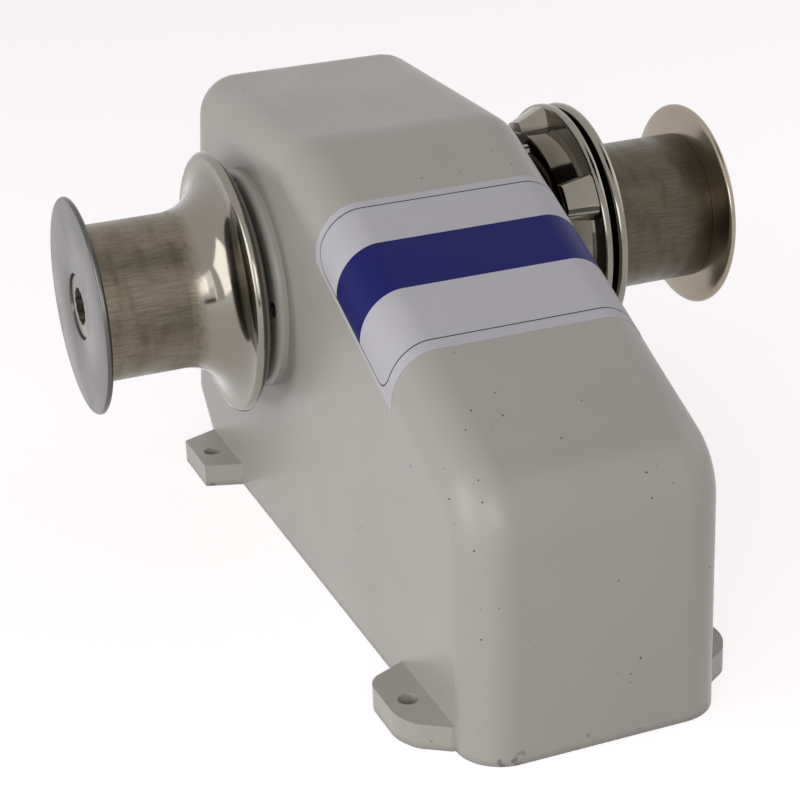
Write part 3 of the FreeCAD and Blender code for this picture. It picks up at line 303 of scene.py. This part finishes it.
def plain_metal(name, color, roughness, scale=120.0, metallic=1.0):
    """Machined or cast metal with a slight mottle."""
    made = Finish(name, color, roughness, metallic)
    mottle = made.noise(scale)
    made.paint(made.span(mottle, 0.4, 0.75, 0.0, 0.5), darker(color, 0.6))
    made.set("Roughness", made.span(mottle, 0.3, 0.7, roughness * 0.85, roughness * 1.2))
    made.bump(made.noise(scale * 4), 0.00004, 0.4)
    return made


# ---------------------------------------------------------------------------
# Settings that a user would change
# ---------------------------------------------------------------------------
def color_setting(name, description, default):
    return bpy.props.FloatVectorProperty(name=name, description=description, default=default,
                                         size=3, subtype="COLOR", min=0.0, max=1.0)


class WindlassFinish(bpy.types.PropertyGroup):
    enamel: color_setting("Enamel", "Colour of the sprayed housing", (0.455, 0.44, 0.4))
    sheet: color_setting("Label sheet", "Colour of the blank label", (0.59, 0.58, 0.62))
    band: color_setting("Label band", "Colour of the band across the label", (0.008, 0.009, 0.135))
    polished: color_setting("Polished steel", "Tint of the polished steel", (0.25, 0.235, 0.2))
    satin: color_setting("Satin steel", "Tint of the barrels, rough from the rope", (0.2, 0.175, 0.13))
    band_low: bpy.props.FloatProperty(
        name="Band start", description="Lower edge of the band, up the slope", default=0.117,
        unit="LENGTH")
    band_high: bpy.props.FloatProperty(
        name="Band end", description="Upper edge of the band, up the slope", default=0.152,
        unit="LENGTH")


class WindlassStudio(bpy.types.PropertyGroup):
    camera_place: bpy.props.FloatVectorProperty(
        name="Camera", description="Where the camera stands", default=(-0.41831, -1.0462, 0.59113),
        size=3, subtype="TRANSLATION")
    camera_turn: bpy.props.FloatVectorProperty(
        name="Camera turn", description="Which way the camera points", size=3, subtype="EULER",
        default=tuple(math.radians(a) for a in (66.374, 2.071, -21.962)))
    focal: bpy.props.FloatProperty(
        name="Focal length", description="Lens of the camera, in millimetres", default=97.62)
    window_power: bpy.props.FloatProperty(
        name="Window light", description="Power of the two windows together", default=15.0,
        subtype="POWER")
    sky: bpy.props.FloatProperty(
        name="Sky", description="Strength of the light from all round", default=0.28)


# ---------------------------------------------------------------------------
# The pieces
# ---------------------------------------------------------------------------
class WINDLASS_OT_housing(bpy.types.Operator):
    """Sprays the housing and the two bearing carriers"""
    bl_idname = "windlass.housing"
    bl_label = "Housing"

    def execute(self, context):
        settings = context.scene.windlass_finish
        finished(enamel("housing enamel", tuple(settings.enamel)), "housing",
                 "left_bearing_carrier", "right_bearing_carrier")
        return {"FINISHED"}


class WINDLASS_OT_label(bpy.types.Operator):
    """Prints the border and the plain band on the blank label sheet"""
    bl_idname = "windlass.label"
    bl_label = "Label"

    def execute(self, context):
        settings = context.scene.windlass_finish
        made = Finish("label print", tuple(settings.sheet), 0.45)
        made.set("Specular IOR Level", 0.18)
        from_start = made.vector("SUBTRACT", made.here, LABEL_START)
        up_slope = (0.0, math.cos(SLOPE), math.sin(SLOPE))
        below_slope = (0.0, math.sin(SLOPE), -math.cos(SLOPE))
        fall = made.math("MAXIMUM", made.vector("DOT_PRODUCT", from_start, below_slope), 0.0)
        along = made.math("ADD", made.vector("DOT_PRODUCT", from_start, up_slope),
                          made.math("MULTIPLY", fall, LABEL_LEAN))
        across = made.math("ADD", made.math("ABSOLUTE", made.split(made.here)[0]), fall)
        off_middle = made.math("ABSOLUTE", made.math("SUBTRACT", along, LABEL_MIDDLE))
        past_x = made.math("SUBTRACT", across, LABEL_HALF_WIDTH - LABEL_CORNER)
        past_y = made.math("SUBTRACT", off_middle, LABEL_HALF_HEIGHT - LABEL_CORNER)
        past = made.join(made.math("MAXIMUM", past_x, 0.0), made.math("MAXIMUM", past_y, 0.0), 0.0)
        outside = made.math("SUBTRACT", made.vector("LENGTH", past, (0, 0, 0)), LABEL_CORNER)
        line = made.span(made.math("ABSOLUTE", outside), LINE_HALF, LINE_FADE, 1.0, 0.0)
        inside = made.span(outside, -PRINT_EDGE, 0.0, 1.0, 0.0)
        low = made.span(along, settings.band_low - PRINT_EDGE, settings.band_low + PRINT_EDGE)
        high = made.span(along, settings.band_high - PRINT_EDGE, settings.band_high + PRINT_EDGE,
                         1.0, 0.0)
        band = made.math("MULTIPLY", made.math("MULTIPLY", low, high), inside)
        made.paint(made.span(made.noise(25.0), 0.4, 0.7, 0.0, 0.3), darker(settings.sheet, 0.92))
        made.paint(band, tuple(settings.band))
        made.paint(line, LABEL_LINE)
        made.bump(made.noise(900.0, detail=1.0), 0.00001, 0.3)
        finished(made, "label_sheet")
        return {"FINISHED"}


def barrel_and_flare(name, settings, rough, barrel_shade=0.0):
    """Polished steel whose barrel, between two places on X, is left rough from the rope and, when
    asked, painted darker there all over as painted shade.
    """
    made = Finish(name, tuple(settings.polished), 0.07, 1.0)
    rough_low, rough_high = rough
    edge = made.math("MULTIPLY", made.math("SUBTRACT", made.noise(60.0), 0.5), 0.006)
    place = made.math("ADD", made.split(made.here)[0], edge)
    worn = made.math("MULTIPLY", made.span(place, rough_low - 0.001, rough_low + 0.001),
                     made.span(place, rough_high - 0.004, rough_high + 0.002, 1.0, 0.0))
    lines = made.noise((70.0, 1500.0, 1500.0), detail=2.0)
    blots = made.noise((110.0, 38.0, 38.0), detail=2.0, roughness=0.5)
    spots = made.noise((260.0, 150.0, 150.0), detail=1.0)
    made.paint(worn, tuple(settings.satin))
    made.paint(made.math("MULTIPLY", worn, made.span(lines, 0.42, 0.7, 0.0, 0.6)), ROPE_SCRATCH)
    made.paint(made.math("MULTIPLY", worn, made.span(blots, 0.48, 0.68, 0.0, 0.5)), BROWN_BLOT)
    made.paint(made.math("MULTIPLY", worn, made.span(spots, 0.62, 0.78, 0.0, 0.3)), DARK_SPOT)
    # Painted shade: the rough barrel is darkened evenly by the given share.
    if barrel_shade:
        made.paint(made.math("MULTIPLY", worn, barrel_shade), RIGHT_BARREL_SHADE)
    shine = made.span(made.noise(90.0), 0.3, 0.7, 0.09, 0.15)
    matt = made.span(blots, 0.3, 0.7, 0.3, 0.42)
    bright = made.math("MULTIPLY", made.math("SUBTRACT", 1.0, worn), shine)
    made.set("Roughness", made.math("ADD", made.math("MULTIPLY", worn, matt), bright))
    made.bump(made.math("MULTIPLY", worn, lines), 0.00004, 0.6)
    return made


def flange_steel(name, tint, roughness):
    """Turned steel with faint rings about the shaft."""
    made = Finish(name, tint, roughness, 1.0)
    radius, x = made.axis_radius(SHAFT_Y, SHAFT_Z)
    spread = made.join(made.math("MULTIPLY", radius, 1400.0), made.math("MULTIPLY", x, 300.0), 0.0)
    rings = made.noise(1.0, detail=2.0, at=spread)
    made.paint(made.span(rings, 0.5, 0.8, 0.0, 0.2), darker(tint, 0.7))
    made.set("Roughness", made.span(made.noise(30.0), 0.3, 0.7, roughness * 0.85, roughness * 1.2))
    made.bump(rings, 0.00001, 0.3)
    return made


class WINDLASS_OT_left_drum(bpy.types.Operator):
    """Finishes the left warping drum, its end flange and its nut"""
    bl_idname = "windlass.left_drum"
    bl_label = "Left drum"

    def execute(self, context):
        settings = context.scene.windlass_finish
        finished(barrel_and_flare("left drum steel", settings, LEFT_ROUGH), "left_drum")
        # The left end disc's steel is tinted near black as painted shade: it stands for the disc's dark
        # reflection.
        shaded_disc_steel = flange_steel("left flange steel", (0.112, 0.11, 0.105), 0.24)
        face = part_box("left_end_flange")[0].x / MM
        turned("left_flange_disc", [
            (-152.0, THREAD_CLEARANCE), (-156.0, THREAD_CLEARANCE), (-156.0, NUT_RECESS),
            (face, NUT_RECESS), (face, LEFT_FLANGE - 0.9), (face + 1.1, LEFT_FLANGE),
            (face + 2.3, LEFT_FLANGE), (face + 3.2, LEFT_FLANGE - 1.2), (face + 5.2, LEFT_BARREL + 2.5),
            (face + 5.6, LEFT_BARREL), (face + 5.6, LEFT_BORE), (-152.0, LEFT_BORE)],
            shaded_disc_steel, "drum_shaft", "satin_stainless", "left_end_flange")
        socket = steel("socket steel", (0.26, 0.25, 0.22), 0.3, stain=0.5)
        finished(socket, "left_drum_nut")
        return {"FINISHED"}


class WINDLASS_OT_chain_wheel(bpy.types.Operator):
    """Polishes the chain wheel and its clutch cones"""
    bl_idname = "windlass.chain_wheel"
    bl_label = "Chain wheel"

    def execute(self, context):
        settings = context.scene.windlass_finish
        wheel = steel("chain wheel steel", tuple(settings.polished), 0.08, stain=0.35, dark=WHEEL_STAIN)
        radius = wheel.axis_radius(SHAFT_Y, SHAFT_Z)[0]
        # Painted shade: the pocket floors, below a radius of about 61 mm, are darkened towards this
        # colour.
        wheel.paint(wheel.span(radius, 0.0605, 0.0635, 0.75, 0.0), POCKET_SHADE)
        finished(wheel, "chain_gypsy")
        bright = steel("wheel rim steel", tuple(settings.polished), 0.12, stain=0.2)
        turned("chain_wheel_rim", [
            (121.9, 71.5), (121.9, 72.7), (122.4, 73.8), (123.5, 74.3), (125.4, 74.3), (126.5, 73.8),
            (127.1, 72.6), (127.1, 71.5)],
            bright, "chain_wheel", "polished_stainless", round_over=0.0002)
        cone = steel("cone steel", tuple(settings.polished), 0.14, grain=(900.0, 40.0, 40.0), stain=0.3)
        finished(cone, "inner_clutch_cone", "outer_clutch_cone")
        finished(plain_metal("bush bronze", (0.6, 0.36, 0.14), 0.3), "gypsy_bush")
        return {"FINISHED"}


class WINDLASS_OT_right_drum(bpy.types.Operator):
    """Finishes the right warping drum, its end flange and the clutch nut"""
    bl_idname = "windlass.right_drum"
    bl_label = "Right drum"

    def execute(self, context):
        settings = context.scene.windlass_finish
        # The right barrel's rough steel is painted darker than the left's: painted shade.
        drum_steel = barrel_and_flare("right drum steel", settings, RIGHT_ROUGH, barrel_shade=0.55)
        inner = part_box("right_drum")[0].x / MM
        turned("right_drum_body", [
            (inner, 12.58), (194.0, 12.58), (194.0, 22.0), (147.0, 22.0), (143.0, 26.0),
            (143.0, RIGHT_BORE), (209.0, RIGHT_BORE), (209.0, RIGHT_BARREL), (142.0, RIGHT_BARREL),
            (140.2, 44.8), (138.8, 45.8), (137.9, 47.2), (137.5, 49.0), (137.5, 71.2), (137.0, 72.6),
            (135.8, 73.4), (134.2, 73.7), (132.7, 73.4), (inner + 0.5, 72.5), (inner, 71.2)],
            drum_steel, "sliding_drum", "polished_stainless", "right_drum", round_over=0.0003)
        # The right end disc's steel is tinted a light tan as painted light: it stands for the satin
        # barrel's reflection on the disc's shaded inner face.
        painted_light_flange_steel = flange_steel("right flange steel", (0.34, 0.3, 0.235), 0.2)
        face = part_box("right_end_flange")[1].x / MM
        turned("right_flange_disc", [
            (194.0, THREAD_CLEARANCE), (198.0, THREAD_CLEARANCE), (198.0, NUT_RECESS),
            (face - 0.6, NUT_RECESS), (face, NUT_RECESS + 0.8), (face, RIGHT_FLANGE - 1.2),
            (face - 0.9, RIGHT_FLANGE - 0.1), (face - 2.4, RIGHT_FLANGE),
            (face - 3.6, RIGHT_FLANGE - 0.5), (face - 4.4, RIGHT_FLANGE - 2.4),
            (face - 6.5, RIGHT_BARREL), (face - 6.5, RIGHT_BORE), (194.0, RIGHT_BORE)],
            painted_light_flange_steel, "sliding_drum", "polished_stainless", "right_end_flange")
        finished(steel("clutch nut steel", (0.26, 0.25, 0.22), 0.3, stain=0.5), "clutch_nut")
        return {"FINISHED"}


class WINDLASS_OT_shaft(bpy.types.Operator):
    """Finishes the drum shaft with its keys, spacer, bearings and seals"""
    bl_idname = "windlass.shaft"
    bl_label = "Drum shaft"

    def execute(self, context):
        finished(steel("shaft steel", (0.5, 0.49, 0.47), 0.22, grain=(900.0, 30.0, 30.0), stain=0.2),
                 "main_shaft", "shaft_spacer", "armature_shaft", "motor_coupling")
        finished(plain_metal("key steel", (0.4, 0.4, 0.4), 0.35), "wheel_key", "left_drum_key",
                 "clutch_cone_key", "right_drum_key")
        finished(plain_metal("bearing steel", (0.55, 0.55, 0.56), 0.16, 200.0),
                 "left_bearing_outer", "left_bearing_inner", "right_bearing_outer",
                 "right_bearing_inner", "worm_front_bearing_outer", "worm_front_bearing_inner",
                 "worm_rear_bearing_outer", "worm_rear_bearing_inner")
        rubber = Finish("seal rubber", (0.022, 0.021, 0.02), 0.55)
        rubber.paint(rubber.span(rubber.noise(60.0), 0.45, 0.7, 0.0, 0.6), (0.045, 0.043, 0.04))
        rubber.bump(rubber.noise(700.0), 0.00004, 0.5)
        finished(rubber, "left_oil_seal", "right_oil_seal", "cable_grommet")
        return {"FINISHED"}


class WINDLASS_OT_gearing(bpy.types.Operator):
    """Finishes the worm, its wheel and their bracket"""
    bl_idname = "windlass.gearing"
    bl_label = "Gearing"

    def execute(self, context):
        finished(plain_metal("wheel bronze", (0.62, 0.4, 0.17), 0.28), "worm_wheel_rim")
        finished(plain_metal("cast iron", (0.1, 0.1, 0.105), 0.6, metallic=0.8), "worm_wheel_hub")
        finished(steel("worm steel", (0.5, 0.5, 0.5), 0.18, grain=(40.0, 900.0, 40.0)), "worm_shaft")
        finished(plain_metal("cast alloy", (0.5, 0.5, 0.5), 0.5, 90.0), "gear_bracket")
        return {"FINISHED"}


class WINDLASS_OT_motor(bpy.types.Operator):
    """Finishes the motor and what is inside it"""
    bl_idname = "windlass.motor"
    bl_label = "Motor"

    def execute(self, context):
        black = Finish("motor enamel", (0.02, 0.02, 0.022), 0.35)
        black.paint(black.span(black.noise(80.0), 0.55, 0.7, 0.0, 0.5), (0.05, 0.05, 0.05))
        black.bump(black.noise(400.0), 0.00004, 0.4)
        finished(black, "motor_can", "motor_rear_bell")
        finished(plain_metal("bell alloy", (0.5, 0.5, 0.51), 0.42), "motor_front_bell")
        finished(plain_metal("magnet ferrite", (0.05, 0.05, 0.055), 0.6, metallic=0.1),
                 "motor_magnets")
        core = plain_metal("core laminations", (0.3, 0.3, 0.31), 0.4)
        sheets = core.node("ShaderNodeTexWave", {"Vector": core.here, "Scale": 320.0},
                           bands_direction="Y")
        core.bump(sheets.outputs["Fac"], 0.0002, 0.6)
        finished(core, "armature_core")
        copper = plain_metal("winding copper", (0.72, 0.3, 0.12), 0.3)
        turns = copper.node("ShaderNodeTexWave", {"Vector": copper.here, "Scale": 160.0,
                                                  "Distortion": 3.0}, bands_direction="DIAGONAL")
        copper.bump(turns.outputs["Fac"], 0.0003, 0.7)
        finished(copper, "armature_windings")
        finished(plain_metal("commutator copper", (0.75, 0.38, 0.2), 0.22), "commutator")
        brush = Finish("brush carbon", (0.03, 0.03, 0.032), 0.5)
        brush.bump(brush.noise(900.0), 0.00005, 0.5)
        finished(brush, "brushes")
        laminate = Finish("brush board", (0.12, 0.06, 0.025), 0.5)
        laminate.paint(laminate.noise(300.0), (0.2, 0.11, 0.05))
        finished(laminate, "brush_plate")
        finished(plain_metal("stud brass", (0.7, 0.52, 0.2), 0.25), "terminal_studs")
        return {"FINISHED"}


class WINDLASS_OT_base(bpy.types.Operator):
    """Finishes the base plate, the motor's cradle and strap, and every screw"""
    bl_idname = "windlass.base"
    bl_label = "Base and screws"

    def execute(self, context):
        zinc = plain_metal("plate zinc", (0.5, 0.5, 0.49), 0.38, 60.0)
        finished(zinc, "base_plate", "motor_strap", "motor_cradle")
        finished(plain_metal("screw steel", (0.5, 0.49, 0.47), 0.24, 150.0), "base_screws",
                 "left_carrier_screws", "right_carrier_screws", "wheel_bolts", "bracket_screws",
                 "motor_through_bolts", "strap_screws")
        return {"FINISHED"}


# ---------------------------------------------------------------------------
# The stage
# ---------------------------------------------------------------------------
def board(name, size, place, aim):
    """A flat square board that faces a point."""
    mesh = bpy.data.meshes.new(name)
    form = bmesh.new()
    bmesh.ops.create_grid(form, x_segments=1, y_segments=1, size=size / 2)
    form.to_mesh(mesh)
    form.free()
    made = bpy.data.objects.new(name, mesh)
    bpy.context.scene.collection.objects.link(made)
    made.location = place
    made.rotation_euler = (Vector(aim) - Vector(place)).to_track_quat("Z", "Y").to_euler()
    return made


def seen_rays(tree):
    """1 on a camera, gloss or glass ray, and 0 on all other light."""
    rays = tree.nodes.new("ShaderNodeLightPath").outputs
    seen = rays["Is Camera Ray"]
    for kind in ("Is Glossy Ray", "Is Transmission Ray"):
        either = tree.nodes.new("ShaderNodeMath")
        either.operation = "MAXIMUM"
        tree.links.new(seen, either.inputs[0])
        tree.links.new(rays[kind], either.inputs[1])
        seen = either.outputs[0]
    return seen


def seen_white(name, strength, shade):
    """White to the camera, to gloss and to glass, and a plain grey to all other light."""
    made = Finish(name, (shade,) * 3, 0.9)
    made.set("Specular IOR Level", 0.0)
    made.set("Emission Color", STUDIO_WHITE)
    made.set("Emission Strength", made.math("MULTIPLY", seen_rays(made.tree), strength))
    return made


def soft_light(name, power, size, place, aim):
    """A rectangular light that faces a point and that the camera doesn't see."""
    data = bpy.data.lights.new(name, "AREA")
    data.energy = power
    data.shape = "RECTANGLE"
    data.size, data.size_y = size
    made = bpy.data.objects.new(name, data)
    bpy.context.scene.collection.objects.link(made)
    made.location = place
    made.rotation_euler = (Vector(aim) - Vector(place)).to_track_quat("-Z", "Y").to_euler()
    made.visible_camera = False
    return made


class WINDLASS_OT_stage(bpy.types.Operator):
    """Sets up the floor, the soft light and the camera"""
    bl_idname = "windlass.stage"
    bl_label = "Stage"

    def execute(self, context):
        settings = context.scene.windlass_studio
        low, high = CAD_BOX
        middle = (low + high) / 2
        floor = board("floor", FLOOR_SIZE, (middle.x, middle.y, low.z - FLOOR_GAP),
                      (middle.x, middle.y, 1.0))
        floor.data.materials.append(seen_white("floor white", FLOOR_GLOW, FLOOR_SHADE).material)

        world = bpy.data.worlds.new("studio")
        context.scene.world = world
        world.use_nodes = True
        tree = world.node_tree
        back = tree.nodes["Background"]
        level = tree.nodes.new("ShaderNodeMapRange")
        level.inputs["To Min"].default_value = settings.sky
        level.inputs["To Max"].default_value = SKY_WHITE
        tree.links.new(seen_rays(tree), level.inputs["Value"])
        tree.links.new(level.outputs[0], back.inputs["Strength"])
        back.inputs["Color"].default_value = STUDIO_WHITE

        for name, share, size, place in LIGHTS:
            soft_light(name, settings.window_power * share, size, place, middle)
        cloth = Finish("flag cloth", FLAG_CLOTH, 0.9)
        for name, size, place in FLAGS:
            flag = board(name, size, place, middle)
            flag.data.materials.append(cloth.material)
            flag.visible_camera = False
            flag.visible_diffuse = False
            flag.visible_shadow = False
            flag.visible_transmission = False

        data = bpy.data.cameras.new("camera")
        camera = bpy.data.objects.new("camera", data)
        context.scene.collection.objects.link(camera)
        camera.location = settings.camera_place
        camera.rotation_euler = Euler(settings.camera_turn)
        data.lens = settings.focal
        data.sensor_width = 36.0
        data.clip_end = 50.0
        context.scene.camera = camera
        context.scene.view_settings.view_transform = "Standard"
        return {"FINISHED"}


PIECES = (WINDLASS_OT_housing, WINDLASS_OT_label, WINDLASS_OT_left_drum, WINDLASS_OT_chain_wheel,
          WINDLASS_OT_right_drum, WINDLASS_OT_shaft, WINDLASS_OT_gearing, WINDLASS_OT_motor,
          WINDLASS_OT_base, WINDLASS_OT_stage)


class WINDLASS_PT_pieces(bpy.types.Panel):
    """Lists the pieces and their settings"""
    bl_idname = "WINDLASS_PT_pieces"
    bl_label = "Anchor Windlass"
    bl_space_type = "VIEW_3D"
    bl_region_type = "UI"
    bl_category = "Windlass"

    def draw(self, context):
        for piece in PIECES:
            self.layout.operator(piece.bl_idname)
        for group in (context.scene.windlass_finish, context.scene.windlass_studio):
            for name in group.bl_rna.properties.keys():
                if name not in ("rna_type", "name"):
                    self.layout.prop(group, name)


CLASSES = (WindlassFinish, WindlassStudio, *PIECES, WINDLASS_PT_pieces)


def register():
    for item in CLASSES:
        bpy.utils.register_class(item)
    bpy.types.Scene.windlass_finish = bpy.props.PointerProperty(type=WindlassFinish)
    bpy.types.Scene.windlass_studio = bpy.props.PointerProperty(type=WindlassStudio)


def unregister():
    del bpy.types.Scene.windlass_studio
    del bpy.types.Scene.windlass_finish
    for item in reversed(CLASSES):
        bpy.utils.unregister_class(item)


def main():
    register()
    for piece in PIECES:
        group, name = piece.bl_idname.split(".")
        getattr(getattr(bpy.ops, group), name)()


if __name__ == "__main__":
    main()
